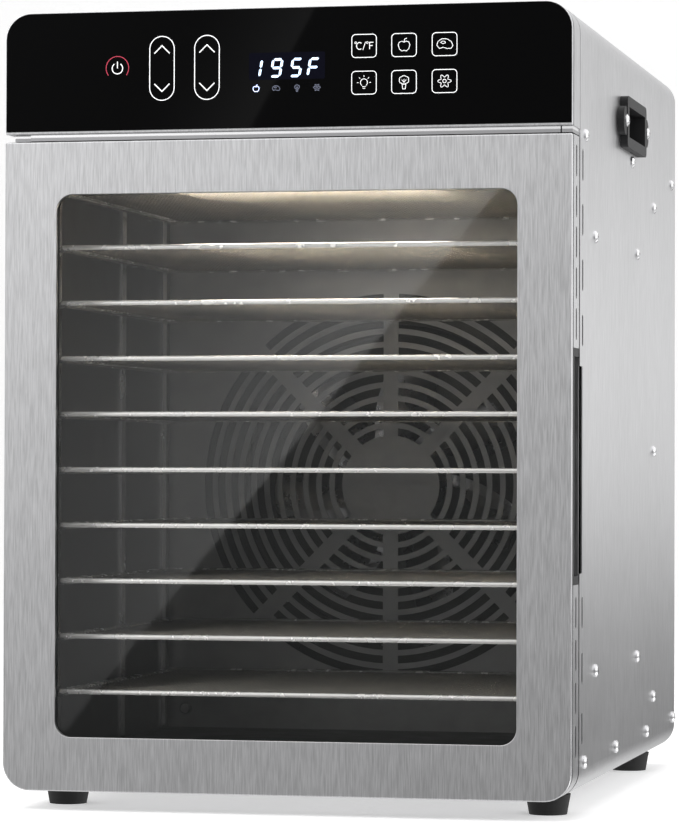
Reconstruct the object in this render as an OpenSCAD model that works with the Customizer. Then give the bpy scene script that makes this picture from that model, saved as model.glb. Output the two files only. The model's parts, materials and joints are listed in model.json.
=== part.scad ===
// Cabinet food dehydrator: stainless body, touch-glass head, window door, ten mesh trays, fan and heater.
// Millimetres. The feet stand on z = 0, the front faces -Y and the centre of the footprint is the origin.
// Depths in the code are measured back from the door's front face and shifted by d().

/* [Body] */
// Body width
body_w = 340; // [300:400]
// Body depth, front face to rear edge
body_d = 450; // [400:500]
// Body height without the feet
body_h = 460; // [400:520]
// Radius of the body's long corners
corner_r = 16; // [8:24]
// Casing sheet thickness
wrap_t = 0.8; // [0.6:0.1:2]
// Foot height
foot_h = 12; // [8:20]

/* [Door] */
// Height of the door
door_h = 383.4; // [340:0.1:400]
// Depth from the door's front face to the casing's front edge
case_d = 28.6; // [24:0.1:36]
// Width of the window
window_w = 276; // [240:290]
// Bottom of the window above the body's bottom
window_z0 = 32; // [20:60]
// Top of the window above the body's bottom
window_z1 = 352; // [300:370]
// Full opening angle of the door
door_open = 105; // [60:110]

/* [Trays] */
// Number of trays
tray_n = 10; // [6:12]
// Height between trays
tray_pitch = 33.3; // [28:0.1:40]
// Centre of the lowest tray's rim above the body's bottom
tray_z0 = 56.5; // [40:80]
// Width of a tray
tray_w = 296; // [260:300]
// Depth of a tray
tray_d = 260; // [200:270]
// Height of a tray's rim
rim_h = 3; // [2:0.1:6]

/* [Fan and grille] */
// Height of the fan's axis above the body's bottom
fan_z = 180; // [140:230]
// Depth of the grille plate
baffle_d = 305; // [290:330]
// Number of slot rings in the grille
ring_n = 11; // [6:12]
// Centre radius of the grille's first ring
ring_r0 = 35.5; // [25:0.1:45]
// Distance between slot rings
ring_pitch = 8.9; // [7:0.1:12]
// Width of a grille slot
ring_slot = 5.2; // [3:0.1:7]
// Number of fan blades
blade_n = 7; // [3:9]

/* [Preview] */
// Door angle shown
door_angle = 0; // [0:105]
// Node to build

/* [Hidden] */
$fn = 64;
z0 = foot_h;
eps = 0.1;
fit = 0.05;
head_z = 387.9;
glass_z = 389.4;
glass_t = 2.2;
trim_z = 384.2;
opening_w = 304;
opening_z0 = 20;
opening_z1 = 376;
wall_x = opening_w / 2;
wall_t = 0.8;
inner_x = body_w / 2 - wrap_t;
bulk_d = 351;
rear_d = 447.5;
plate_t = 0.8;
front_d = case_d + 0.4 + plate_t;
hinge_x = -162;
hinge_d = 14;
pin_r = 2.5;
shaft_r = 3;
handle_z0 = 124;
handle_z1 = 260.5;
handle_mid = (handle_z0 + handle_z1) / 2;
handle_len = handle_z1 - handle_z0;
screw_r = 1.9;
head_r = 3.9;

// [depth, height above the body's bottom] of the pan-head screws on each side of the casing
SIDE_SCREWS = [[48, 386], [239, 386], [428, 386], [340, 364], [85, 329], [262, 329], [340, 203],
  [88, 71], [264, 71], [340, 41], [438, 21], [309, 20], [172, 19.8], [46, 19.8]];
// the casing's edge slots: heights of their centres above the body's bottom
CASE_SLOTS = [368, 336, 303.7, 271.5, 107.2, 74.7, 39.7];
// the door's edge slots
DOOR_SLOTS = [368.8, 345.2, 321.6, 298, 274.3, 108, 83.3, 58.6, 33.6];
// the side handles: depth of the centre and height above the body's bottom
GRIP_D = 229;
GRIP_Z = 407.5;
GRIP_L = 84;
GRIP_H = 32;
// corners of the grille's posts, from the fan's axis
POSTS = [[-140, -150], [140, -150], [-140, 150], [140, 150]];
FEET = [[-147, 58], [147, 58], [-147, 392], [147, 392]];
STAYS = [[85, 329], [262, 329], [88, 71], [264, 71]];

function d(depth) = depth - body_d / 2;
function zb(height) = height + z0;
function tray_z(i) = zb(tray_z0 + i * tray_pitch);

// ---------- shared shapes ----------

// a rounded rectangle on the XY plane, from its low corner
module round_rect(w, h, r) {
  translate([r, 0]) square([w - 2 * r, h]);
  translate([0, r]) square([w, h - 2 * r]);
  for (x = [r, w - r], y = [r, h - r])
    translate([x, y]) circle(r);
}

// stands a flat XY shape up, so its X stays X, its Y becomes height and it is t deep from depth a
module upright(a, t) {
  translate([0, d(a + t), 0]) rotate([90, 0, 0]) linear_extrude(t) children();
}

// the body's front outline, drawn in by inset
module body_outline(inset = 0) {
  translate([-body_w / 2 + inset, z0 + inset])
    round_rect(body_w - 2 * inset, body_h - 2 * inset, corner_r - inset);
}

// a rectangle with rounded corners given by its limits
module limits(x0, x1, y0, y1, r) {
  translate([x0, y0]) round_rect(x1 - x0, y1 - y0, r);
}

// a straight slot with round ends, long way up
module slot_2d(len, wid) {
  translate([-wid / 2, -len / 2 + wid / 2]) square([wid, len - wid]);
  for (s = [-1, 1])
    translate([0, s * (len - wid) / 2]) circle(wid / 2);
}

// a pan-head screw along +X: the head stands on the plane x = 0 and the shank runs to -len
module pan_screw(len, r = screw_r, hr = head_r, ht = 2) {
  translate([-len, 0, 0]) rotate([0, 90, 0]) cylinder(r = r, h = len + 0.5);
  difference() {
    union() {
      rotate([0, 90, 0]) cylinder(r = hr, h = ht * 0.45);
      translate([ht * 0.45, 0, 0]) rotate([0, 90, 0]) cylinder(r1 = hr, r2 = hr * 0.62, h = ht * 0.55);
    }
    for (a = [0, 90])
      translate([ht - 0.9, 0, 0]) rotate([a, 0, 0]) translate([0, -2, -0.45]) cube([2, 4, 0.9]);
  }
}

// ---------- cabinet ----------

// rounded tube of sheet steel that makes the top, the sides and the bottom
module outer_wrap() color("silver") {
  difference() {
    upright(case_d, body_d - case_d) difference() {
      body_outline();
      body_outline(wrap_t);
    }
    for (s = [-1, 1]) {
      for (h = CASE_SLOTS)
        translate([s * body_w / 2, d(38.5), zb(h)]) rotate([90, 0, 90])
          translate([0, 0, -3]) linear_extrude(6) slot_2d(18.5, 4);
      for (p = SIDE_SCREWS)
        translate([s * body_w / 2, d(p[0]), zb(p[1])]) rotate([0, 90, 0])
          cylinder(r = screw_r + fit, h = 6, center = true);
      translate([s * body_w / 2 - 3, d(GRIP_D - GRIP_L / 2 + 4), zb(GRIP_Z - GRIP_H / 2 + 4)])
        cube([6, GRIP_L - 8, GRIP_H - 8]);
      for (e = [-1, 1])
        translate([s * body_w / 2, d(GRIP_D + e * (GRIP_L / 2 + 4.5)), zb(GRIP_Z)]) rotate([0, 90, 0])
          cylinder(r = screw_r + fit, h = 6, center = true);
    }
    // finger room beside the door handle
    translate([body_w / 2 - 3, d(case_d - 1), zb(handle_z0 + 6)]) cube([6, 10.5, handle_len - 16]);
    for (p = FEET)
      translate([p[0], d(p[1]), z0 - 2]) cylinder(r = 2.25, h = 6);
  }
}

// flat front of the body around the drying chamber
module front_frame() color("gainsboro") {
  upright(case_d + 0.4, plate_t) difference() {
    intersection() {
      body_outline(wrap_t);
      translate([-200, z0]) square([400, 386]);
    }
    limits(-wall_x, wall_x, zb(opening_z0), zb(opening_z1), 6);
  }
}

module chamber_side(s) {
  translate([s > 0 ? wall_x : -wall_x - wall_t, d(front_d), zb(17.6)])
    cube([wall_t, bulk_d - front_d, 359.4]);
}
module left_wall() color("silver") chamber_side(-1);
module right_wall() color("silver") chamber_side(1);

// tray rack: ten ledges welded on three flat uprights
module rack(s) {
  lx = s > 0 ? wall_x - 8 : -wall_x;
  ux = s > 0 ? wall_x - 1.2 : -wall_x;
  for (i = [0 : tray_n - 1])
    translate([lx, d(38), tray_z(i) - rim_h / 2 - 1.2]) cube([8, 256, 1.2]);
  for (p = [44, 186, 284])
    translate([ux, d(p), zb(20)]) cube([1.2, 9, 350]);
}
module left_rack() color("lightgray") rack(-1);
module right_rack() color("lightgray") rack(1);

// folded spacers between the chamber walls and the casing
module wall_stays() color("silver") {
  for (s = [-1, 1], p = STAYS)
    translate([s > 0 ? wall_x + wall_t : -inner_x, d(p[0] - 9), zb(p[1] - 10)]) difference() {
      cube([inner_x - wall_x - wall_t, 18, 20]);
      translate([1.2, -1, 1.2]) cube([inner_x - wall_x - wall_t - 2.4, 20, 17.6]);
      translate([-1, 9, 10]) rotate([0, 90, 0]) cylinder(r = screw_r + fit, h = 30);
    }
}

// a plate right across the casing with a flange up each side
module flanged_plate(z, up) {
  difference() {
    union() {
      translate([-inner_x, d(front_d), zb(z)])
        cube([2 * inner_x, rear_d - 26 - front_d, plate_t]);
      for (s = [-1, 1])
        translate([s > 0 ? inner_x - plate_t : -inner_x, d(front_d), zb(z)])
          cube([plate_t, rear_d - 26 - front_d, up]);
    }
    for (s = [-1, 1], p = SIDE_SCREWS)
      translate([s * inner_x, d(p[0]), zb(p[1])]) rotate([0, 90, 0])
        cylinder(r = screw_r + fit, h = 8, center = true);
  }
}
module chamber_ceiling() color("silver") flanged_plate(377, 15);
module chamber_floor() color("silver") flanged_plate(17.6 - plate_t, 11.2);

// grille plate with rings of curved slots
module fan_baffle() color("darkgray") {
  upright(baffle_d, 1) translate([0, zb(fan_z)]) difference() {
    translate([-wall_x, 17.6 - fan_z]) square([2 * wall_x, 359.4]);
    difference() {
      for (i = [0 : ring_n - 1])
        difference() {
          circle(ring_r0 + i * ring_pitch + ring_slot / 2);
          circle(ring_r0 + i * ring_pitch - ring_slot / 2);
        }
      for (a = [90, 270, 45, 135, 225, 315])
        rotate(a) translate([0, -5]) square([150, 10]);
    }
    for (p = POSTS)
      translate(p) circle(2.1);
  }
}

// round posts that carry the grille, each with its neck and head
module baffle_posts() color("silver") {
  for (p = POSTS)
    translate([p[0], d(0), zb(fan_z + p[1])]) rotate([-90, 0, 0]) {
      translate([0, 0, baffle_d - 2]) cylinder(r1 = 3, r2 = 4.5, h = 2);
      translate([0, 0, baffle_d - 1]) cylinder(r = 2, h = 4);
      translate([0, 0, baffle_d + 1]) cylinder(r = 4.5, h = bulk_d - baffle_d - 1);
    }
}

// rear wall of the fan space, which carries the motor and the heater
module bulkhead() color("silver") {
  difference() {
    union() {
      // narrower at the bottom, where it stands between the floor's flanges
      translate([-inner_x, d(bulk_d), zb(28.5)]) cube([2 * inner_x, plate_t, 348.5]);
      translate([-wall_x - 6, d(bulk_d), zb(17.6)]) cube([2 * wall_x + 12, plate_t, 11]);
      for (s = [-1, 1])
        translate([s > 0 ? inner_x - plate_t : -inner_x, d(bulk_d - 17), zb(30)])
          cube([plate_t, 17.4, 345]);
    }
    translate([0, d(bulk_d - 1), zb(fan_z)]) rotate([-90, 0, 0]) cylinder(r = 12, h = 4);
    for (a = [-8, 8])
      rotate_heater(a) cylinder(r = 5.5, h = 60);
    for (p = SIDE_SCREWS, s = [-1, 1])
      translate([s * inner_x, d(p[0]), zb(p[1])]) rotate([0, 90, 0])
        cylinder(r = screw_r + fit, h = 8, center = true);
    translate([-110, d(bulk_d - 1), zb(fan_z + 150)]) rotate([-90, 0, 0]) cylinder(r = 8, h = 4);
  }
}

// places a child on the heater ring at an angle from straight down, with its Z pointing back
module rotate_heater(a) {
  translate([104 * sin(a), d(326), zb(fan_z) - 104 * cos(a)]) rotate([-90, 0, 0]) children();
}

// sheathed heating tube around the fan, with two terminals through the bulkhead
module heating_element() color("dimgray") {
  translate([0, d(330), zb(fan_z)]) rotate([90, 0, 0]) rotate([0, 0, -82])
    rotate_extrude(angle = 344) translate([104, 0]) circle(3.5);
  for (a = [-8, 8])
    rotate_heater(a) cylinder(r = 4.6, h = 40);
}

// forked clips that hold the tube off the bulkhead
module heater_clips() color("silver") {
  for (a = [45, 135, 225, 315])
    translate([0, d(0), zb(fan_z)]) rotate([0, a, 0]) translate([-3, 324, 97]) difference() {
      cube([6, bulk_d - 324, 14]);
      translate([-1, -1, 3.2]) cube([8, 11, 7.6]);
    }
}

module fan_motor() color("dimgray") {
  difference() {
    translate([0, d(362), zb(fan_z)]) rotate([-90, 0, 0]) {
      cylinder(r = 30, h = 34);
      translate([0, 0, -6]) cylinder(r = 10, h = 7);
      translate([0, 0, 33.5]) cylinder(r = 12, h = 5);
    }
    translate([0, d(350), zb(fan_z)]) rotate([-90, 0, 0]) cylinder(r = shaft_r + fit, h = 42);
  }
}

// strap across the motor's front, held off the bulkhead by two folded legs
module motor_bracket() color("silver") {
  difference() {
    union() {
      translate([-48, d(360.8), zb(fan_z - 14)]) cube([96, 1.2, 28]);
      for (s = [-1, 1])
        translate([s > 0 ? 46.8 : -48, d(bulk_d + plate_t), zb(fan_z - 14)])
          cube([1.2, 360.8 - bulk_d - plate_t + 0.6, 28]);
    }
    translate([0, d(356), zb(fan_z)]) rotate([-90, 0, 0]) cylinder(r = 10.1, h = 8);
  }
}

// rear closing plate with side flanges and air slots
module rear_panel() color("silver") {
  difference() {
    union() {
      upright(rear_d, plate_t) body_outline(wrap_t);
      for (s = [-1, 1])
        translate([s > 0 ? inner_x - plate_t : -inner_x, d(rear_d - 24), zb(30)])
          cube([plate_t, 24.5, 346]);
      for (s = [-1, 1])
        translate([s > 0 ? inner_x - plate_t : -inner_x, d(rear_d - 24), zb(17)])
          cube([plate_t, 24.5, 12]);
      for (s = [-1, 1])
        translate([s > 0 ? inner_x - plate_t : -inner_x, d(rear_d - 24), zb(379)])
          cube([plate_t, 24.5, 14]);
    }
    for (i = [0 : 8])
      translate([0, d(rear_d - 1), zb(120 + i * 15)]) rotate([-90, 90, 0])
        linear_extrude(4) slot_2d(90, 5);
    for (i = [0 : 2], s = [-1, 1])
      translate([s * 80, d(rear_d - 1), zb(405 + i * 12)]) rotate([-90, 90, 0])
        linear_extrude(4) slot_2d(80, 4);
    translate([-120 - 14.1, d(rear_d - 1), zb(50 - 12.1)]) cube([28.2, 4, 24.2]);
    for (s = [-1, 1], p = SIDE_SCREWS)
      translate([s * inner_x, d(p[0]), zb(p[1])]) rotate([0, 90, 0])
        cylinder(r = screw_r + fit, h = 8, center = true);
  }
}

// appliance inlet with three blades in its well
module power_inlet() color("black") {
  ix = -120;
  iz = zb(50);
  difference() {
    union() {
      translate([ix - 14, d(rear_d - 22), iz - 12]) cube([28, 23.5, 24]);
      translate([ix - 17, d(rear_d + plate_t), iz - 14]) cube([34, 1.3, 28]);
    }
    translate([ix - 12, d(rear_d - 18), iz - 9]) cube([24, 22, 18]);
  }
  for (p = [[-7, -2], [7, -2], [0, 4]])
    translate([ix + p[0] - 1, d(rear_d - 19), iz + p[1] - 2]) cube([2, 14, 4]);
}

// ---------- head ----------

// the head's front outline, drawn in by inset
module head_outline(inset) {
  intersection() {
    body_outline(inset);
    translate([-200, zb(head_z) + inset]) square([400, 100]);
  }
}

// steel surround of the control glass, with a shadow line behind its face
module panel_bezel() color("silver") {
  difference() {
    union() {
      upright(0.8, 1.8) head_outline(0);
      upright(2.6, 3.6) head_outline(1.2);
      upright(6.2, case_d - 6.8) head_outline(0.1);
    }
    upright(0, glass_t) glass_outline(0.55);
    upright(glass_t, 40) intersection() {
      body_outline(2.4);
      translate([-200, zb(head_z + 2.4)]) square([400, 100]);
    }
  }
}

module glass_outline(inset) {
  intersection() {
    body_outline(inset);
    translate([-200, zb(glass_z)]) square([400, 100]);
  }
}

module touch_glass() color("black") upright(0, glass_t) glass_outline(0.6);

module display_module() color("darkslategray") {
  translate([-30, d(glass_t), zb(408)]) cube([64, 8, 32]);
}

module touch_board() color("darkgreen") {
  difference() {
    translate([-125, d(glass_t), zb(396)]) cube([245, 1.6, 54]);
    translate([-32, d(glass_t - 1), zb(406)]) cube([68, 4, 36]);
  }
}

// bright bar in the gap between the head and the door, grooved along its front, with an end piece
module trim_bar() color("white") {
  difference() {
    union() {
      translate([-155.4, d(4), zb(trim_z)]) cube([317.8, case_d - 4, head_z - trim_z]);
      translate([163.2, d(4), zb(trim_z)]) cube([6.2, case_d - 4, head_z - trim_z]);
    }
    translate([-180, d(3), zb(trim_z + 1.9)]) cube([360, 1.8, 0.35]);
  }
}

module power_board() color("darkgreen") {
  translate([-70, d(150), zb(388)]) cube([140, 110, 1.6]);
  for (x = [-64, 64], y = [156, 254])
    translate([x, d(y), zb(377 + plate_t)]) cylinder(r = 3, h = 11.1 - plate_t);
}

module transformer() color("goldenrod") {
  translate([-58, d(180), zb(389.6)]) cube([34, 30, 28]);
  translate([-62, d(185), zb(393)]) cube([42, 20, 21]);
}

module relay() color("royalblue") {
  translate([10, d(175), zb(389.6)]) cube([19, 15, 15.5]);
}

module temperature_sensor() color("silver") {
  translate([-110, d(318), zb(fan_z + 150)]) rotate([-90, 0, 0]) cylinder(r = 2.5, h = 33);
  translate([-110, d(bulk_d - 1.5), zb(fan_z + 150)]) rotate([-90, 0, 0]) cylinder(r = 7.9, h = 8);
}

module thermal_cutout() color("black") {
  translate([95, d(bulk_d + plate_t), zb(fan_z + 130)]) rotate([-90, 0, 0]) {
    cylinder(r = 8, h = 9);
    cylinder(r = 11, h = 1);
  }
}

module lamp_holder() color("black") {
  difference() {
    translate([-24, d(60), zb(371)]) cube([48, 16, 6]);
    translate([-22.1, d(61.9), zb(370)]) cube([44.2, 12.2, 5]);
  }
}
module lamp_lens() color("white") translate([-22, d(62), zb(370.4)]) cube([44, 12, 4.6]);

// recessed carry handle: raised collar with a screw ear at each end and a pan behind it
module side_handle(s) color("black") {
  out = 5;
  deep = 14.5;
  translate([s * body_w / 2, d(GRIP_D), zb(GRIP_Z)]) mirror([s > 0 ? 0 : 1, 0, 0]) difference() {
    union() {
      rotate([90, 0, 90]) linear_extrude(out) translate([-GRIP_L / 2, -GRIP_H / 2])
        round_rect(GRIP_L, GRIP_H, 4);
      for (e = [-1, 1])
        translate([0, e * (GRIP_L / 2 + 4.5), 0]) rotate([0, 90, 0]) cylinder(r = 9, h = 4.5);
      translate([-deep, -GRIP_L / 2 + 4.2, -GRIP_H / 2 + 4.2])
        cube([deep + 1, GRIP_L - 8.4, GRIP_H - 8.4]);
    }
    translate([-deep + 2, -GRIP_L / 2 + 7, -GRIP_H / 2 + 6.5])
      cube([deep + 10, GRIP_L - 14, GRIP_H - 13]);
    for (e = [-1, 1])
      translate([-1, e * (GRIP_L / 2 + 4.5), 0]) rotate([0, 90, 0]) cylinder(r = screw_r + fit, h = 8);
  }
}
module side_handle_left() side_handle(-1);
module side_handle_right() side_handle(1);

module feet() color("black") {
  for (p = FEET)
    translate([p[0], d(p[1]), 0]) difference() {
      cylinder(r1 = 11.2, r2 = 13.4, h = foot_h);
      translate([0, 0, -1]) cylinder(r = 5, h = 7);
      translate([0, 0, -1]) cylinder(r = 2.25, h = 20);
    }
}

module foot_screws() color("silver") {
  for (p = FEET)
    translate([p[0], d(p[1]), 6]) rotate([0, 90, 0]) pan_screw(12, 2.2, 4.2, 2.2);
}

// pan-head screws of both sides, those of the carry handles included
module side_screws() color("white") {
  for (s = [-1, 1]) {
    for (p = SIDE_SCREWS)
      translate([s * body_w / 2, d(p[0]), zb(p[1])]) mirror([s > 0 ? 0 : 1, 0, 0]) pan_screw(5);
    for (e = [-1, 1])
      translate([s * (body_w / 2 + 4.5), d(GRIP_D + e * (GRIP_L / 2 + 4.5)), zb(GRIP_Z)])
        mirror([s > 0 ? 0 : 1, 0, 0]) pan_screw(10);
  }
}

// hinge leaf: a strip from the body's front edge that carries the pin
module hinge_leaf(x, w, z, t) {
  translate([x, d(hinge_d - 7), z]) cube([w, case_d + 0.4 - hinge_d + 7, t]);
}
module hinge_bracket_upper() color("silver") {
  difference() {
    hinge_leaf(-166, 9.8, zb(trim_z), head_z - trim_z);
    translate([-170, d(hinge_d - 8), zb(trim_z + 1.9)]) cube([20, 1.8, 0.35]);
  }
  translate([hinge_x, d(hinge_d), zb(373)]) cylinder(r = pin_r, h = 12);
}
module hinge_bracket_lower() color("silver") {
  hinge_leaf(-167, 9, zb(13.5), 3);
  translate([hinge_x, d(hinge_d), zb(15)]) cylinder(r = pin_r, h = 12);
}

module door_magnets() color("dimgray") {
  for (z = [60, 340])
    translate([156, d(case_d - 2.4), zb(z)]) cube([7, 2.8, 30]);
}

// ---------- door ----------

module swing() {
  translate([hinge_x, d(hinge_d), 0]) rotate([0, 0, -door_angle]) translate([-hinge_x, -d(hinge_d), 0])
    children();
}

module door_outline(inset) {
  intersection() {
    body_outline(inset);
    translate([-200, z0]) square([400, door_h - inset]);
  }
}

module window_2d(grow = 0) {
  limits(-window_w / 2 - grow, window_w / 2 + grow, zb(window_z0) - grow, zb(window_z1) + grow, 9.5);
}

// brushed front plate with the window
module door_front_plate() color("silver") swing() upright(0, 2.6) difference() {
  door_outline(0);
  window_2d();
}

// folded door body behind the front plate, with edge slots and the handle's cut-out
module door_shell() color("gainsboro") swing() {
  difference() {
    union() {
      // narrow shadow line behind the front plate
      upright(2.6, 3.6) difference() {
        door_outline(1.4);
        window_2d(3);
      }
      upright(6.2, 19.2) difference() {
        door_outline(0.1);
        window_2d(3);
      }
    }
    // hollow inside, closed at the front by the front plate
    upright(2, 5.4) difference() {
      door_outline(2.6);
      window_2d(4.2);
    }
    upright(7.3, 16.7) difference() {
      door_outline(2.6);
      window_2d(9.2);
    }
    // the window's surround steps back behind the glass and its seal
    upright(8.6, 20) window_2d(8);
    for (s = [-1, 1], h = DOOR_SLOTS)
      translate([s * (body_w / 2 - 1), d(16), zb(h)]) rotate([90, 0, 90]) translate([0, 0, -3])
        linear_extrude(6) slot_2d(18.4, 4);
    translate([body_w / 2 - 6, d(2.5), zb(handle_z0) - fit]) cube([10, 24.5, handle_len + 2 * fit]);
    translate([152, d(2.5), zb(handle_z0) - fit]) cube([20, 21.9, handle_len + 2 * fit]);
    // hole for the upper pin and a notch for the lower leaf
    translate([hinge_x, d(hinge_d), zb(door_h - 4)]) cylinder(r = pin_r + 0.4, h = 8);
    translate([-180, d(2.5), zb(12.5)]) cube([32, 30, 5]);
  }
}

module door_glass() color([0.8, 0.85, 0.9, 0.35]) swing() upright(2.6, 3) difference() {
  window_2d(2.9);
}

// rubber bead that wedges the glass against the front plate
module glazing_seal() color("dimgray") swing() upright(5.6, 3) difference() {
  window_2d(2.9);
  window_2d(0.8);
}

// recessed pull in the door's free edge
module door_handle() color("black") swing() {
  difference() {
    translate([152.6, d(3.2), zb(handle_z0)]) cube([body_w / 2 - 152.6, 21.1, handle_len]);
    translate([158, d(9), zb(handle_z0 + 5)]) cube([20, 30, handle_len - 10]);
  }
}

module door_bushes() color("white") swing() {
  for (z = [zb(17.8), zb(door_h - 10.2)])
    difference() {
      translate([-body_w / 2 + 2.6, d(8), z]) cube([11.6, 12, 7.6]);
      translate([hinge_x, d(hinge_d), z - 1]) cylinder(r = pin_r + fit, h = 10);
    }
}

// soft seal on the door's back
module door_gasket() color("dimgray") swing() upright(25.4, 2.6) difference() {
  limits(-157.4, 155.4, zb(9), zb(381), 5);
  limits(-152.8, 152.4, zb(13), zb(377.6), 4);
}

module strike_plates() color("silver") swing() {
  for (z = [60, 340])
    translate([156, d(25.4), zb(z)]) cube([7, 0.6, 30]);
}

// ---------- fan ----------

module fan_wheel() color("lightgray") translate([0, d(332), zb(fan_z)]) {
  difference() {
    union() {
      rotate([90, 0, 0]) cylinder(r = 17, h = 16, center = true);
      for (i = [0 : blade_n - 1])
        rotate([0, i * 360 / blade_n, 0]) translate([0, 0, 51]) rotate([0, 0, 32])
          translate([-17, -0.6, -38]) cube([34, 1.2, 72]);
    }
    rotate([90, 0, 0]) cylinder(r = shaft_r, h = 40, center = true);
  }
}

module fan_shaft() color("silver") {
  translate([0, d(314), zb(fan_z)]) rotate([-90, 0, 0]) cylinder(r = shaft_r, h = 74);
}

module fan_nut() color("silver") {
  translate([0, d(324), zb(fan_z)]) rotate([90, 0, 0]) difference() {
    cylinder(r = 6, h = 5, $fn = 6);
    translate([0, 0, -1]) cylinder(r = shaft_r, h = 10);
  }
}

// ---------- trays ----------

// one tray: a pressed rim around a thin open grid
module tray(i) color("lightgray") {
  cols = 12;
  rows = 10;
  bar = 1.8;
  px = (tray_w - 12) / cols;
  py = (tray_d - 12) / rows;
  translate([-tray_w / 2, d(36), tray_z(i) - rim_h / 2]) {
    linear_extrude(rim_h) difference() {
      round_rect(tray_w, tray_d, 5);
      translate([1.6, 1.6]) round_rect(tray_w - 3.2, tray_d - 3.2, 3.6);
    }
    translate([0, 0, 0.3]) linear_extrude(0.9) difference() {
      translate([1, 1]) round_rect(tray_w - 2, tray_d - 2, 4);
      for (c = [0 : cols - 1], r = [0 : rows - 1])
        translate([6 + c * px + bar / 2, 6 + r * py + bar / 2]) square([px - bar, py - bar]);
    }
  }
}
module tray_01() tray(0);
module tray_02() tray(1);
module tray_03() tray(2);
module tray_04() tray(3);
module tray_05() tray(4);
module tray_06() tray(5);
module tray_07() tray(6);
module tray_08() tray(7);
module tray_09() tray(8);
module tray_10() tray(9);

// ---------- build ----------

outer_wrap();
front_frame();
left_wall();
right_wall();
left_rack();
right_rack();
wall_stays();
chamber_ceiling();
chamber_floor();
fan_baffle();
baffle_posts();
bulkhead();
heating_element();
heater_clips();
fan_motor();
motor_bracket();
rear_panel();
power_inlet();
panel_bezel();
touch_glass();
display_module();
touch_board();
trim_bar();
power_board();
transformer();
relay();
temperature_sensor();
thermal_cutout();
lamp_holder();
lamp_lens();
side_handle_left();
side_handle_right();
feet();
foot_screws();
side_screws();
hinge_bracket_upper();
hinge_bracket_lower();
door_magnets();
door_front_plate();
door_shell();
door_glass();
glazing_seal();
door_handle();
door_bushes();
door_gasket();
strike_plates();
fan_wheel();
fan_shaft();
fan_nut();
tray_01();
tray_02();
tray_03();
tray_04();
tray_05();
tray_06();
tray_07();
tray_08();
tray_09();
tray_10();
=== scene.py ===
# %% [markdown]
# # A cabinet food dehydrator
#
# The object is a steel cabinet about as big as a small oven. Ten mesh trays hold food in a stream
# of warm air, a door with a large window closes the front, and a band of black glass across the top
# carries the controls. The solid pieces were drawn in CAD, so this script starts from them: it
# gives each one a finish, and makes in Blender what CAD is poor at, such as woven wire, printed key
# symbols and a folded rim.

# %% Load the CAD frame
import json
import math

import bmesh
import bpy
from mathutils import Matrix, Vector


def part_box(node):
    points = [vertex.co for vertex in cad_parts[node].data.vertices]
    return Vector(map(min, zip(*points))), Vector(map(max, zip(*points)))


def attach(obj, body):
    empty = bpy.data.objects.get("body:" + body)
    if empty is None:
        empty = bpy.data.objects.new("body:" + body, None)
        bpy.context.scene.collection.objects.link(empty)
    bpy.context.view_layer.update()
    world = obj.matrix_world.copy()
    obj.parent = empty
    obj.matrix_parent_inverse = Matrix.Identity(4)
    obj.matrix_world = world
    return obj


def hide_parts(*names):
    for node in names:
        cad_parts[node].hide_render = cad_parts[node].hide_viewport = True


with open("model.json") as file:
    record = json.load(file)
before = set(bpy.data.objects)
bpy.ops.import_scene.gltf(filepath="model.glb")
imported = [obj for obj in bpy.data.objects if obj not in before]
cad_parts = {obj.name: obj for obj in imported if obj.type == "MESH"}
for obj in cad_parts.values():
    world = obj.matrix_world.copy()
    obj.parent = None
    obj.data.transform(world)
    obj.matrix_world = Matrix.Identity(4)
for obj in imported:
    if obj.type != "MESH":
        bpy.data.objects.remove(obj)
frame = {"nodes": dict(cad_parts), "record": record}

scene = bpy.context.scene
nodes = frame["nodes"]
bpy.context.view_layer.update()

# %% [markdown]
# ## Where the parts lie
#
# Every CAD piece keeps its place in its own mesh, so the box around a node says where it is. A few
# planes are used again and again: the face of the door, the face of the control glass and the
# height of the body's bottom. They are read once here, and later cells build on them.

# %% Main planes of the body
glass_low, glass_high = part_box("touch_glass")
door_low, door_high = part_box("door_front_plate")
face_y = door_low.y
body_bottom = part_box("outer_wrap")[0].z
fan_low, fan_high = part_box("fan_wheel")
fan_centre = (fan_low + fan_high) / 2
tray_boxes = [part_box("tray_%02d" % k) for k in range(1, 11)]
print("door face y", round(face_y, 4), "body bottom z", round(body_bottom, 4))

# %% [markdown]
# ## Camera
#
# A product picture is taken from far away with a long lens, so that parallel edges stay nearly
# parallel. The camera stands a little over two metres off, slightly to the right, at about the
# height of the middle of the trays, and looks almost level. A 160 mm lens frames the body tightly.

# %% Camera at the front right
camera_data = bpy.data.cameras.new("camera")
camera = bpy.data.objects.new("camera", camera_data)
scene.collection.objects.link(camera)
camera_data.sensor_width = 36
camera_data.lens = 160.49
camera_data.clip_start = 0.05
camera_data.clip_end = 60
camera_place = Vector((0.5035, -2.3176, 0.2007))
right = Vector((0.975711, 0.219044, 0.002904))
up = Vector((0.000568, -0.015785, 0.999875))
back = Vector((0.219063, -0.975587, -0.015526))
turn = Matrix((right, up, back)).transposed().to_4x4()
camera.matrix_world = Matrix.Translation(camera_place) @ turn
scene.camera = camera
scene.view_settings.view_transform = "Standard"
print("camera stands", round(camera.location.length, 2), "m away")

# %% [markdown]
# ## Studio
#
# Steel shows its surroundings more than its own colour, so a steel object is lit in two ways at
# once. Soft lamps give the light that falls on plastic, rubber and paint. Large cards round the
# object give what the steel reflects, and only reflections see them: bright at the height of a
# softbox, grey where a studio is dim. A ramp up each card sets how the tone runs down the steel.
# The floor is a wide pale sheet that curves up behind the object, and carries only a soft contact
# shadow.

# %% Floor and backdrop
def make_object(name, mesh):
    thing = bpy.data.objects.new(name, mesh)
    scene.collection.objects.link(thing)
    return thing


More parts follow.
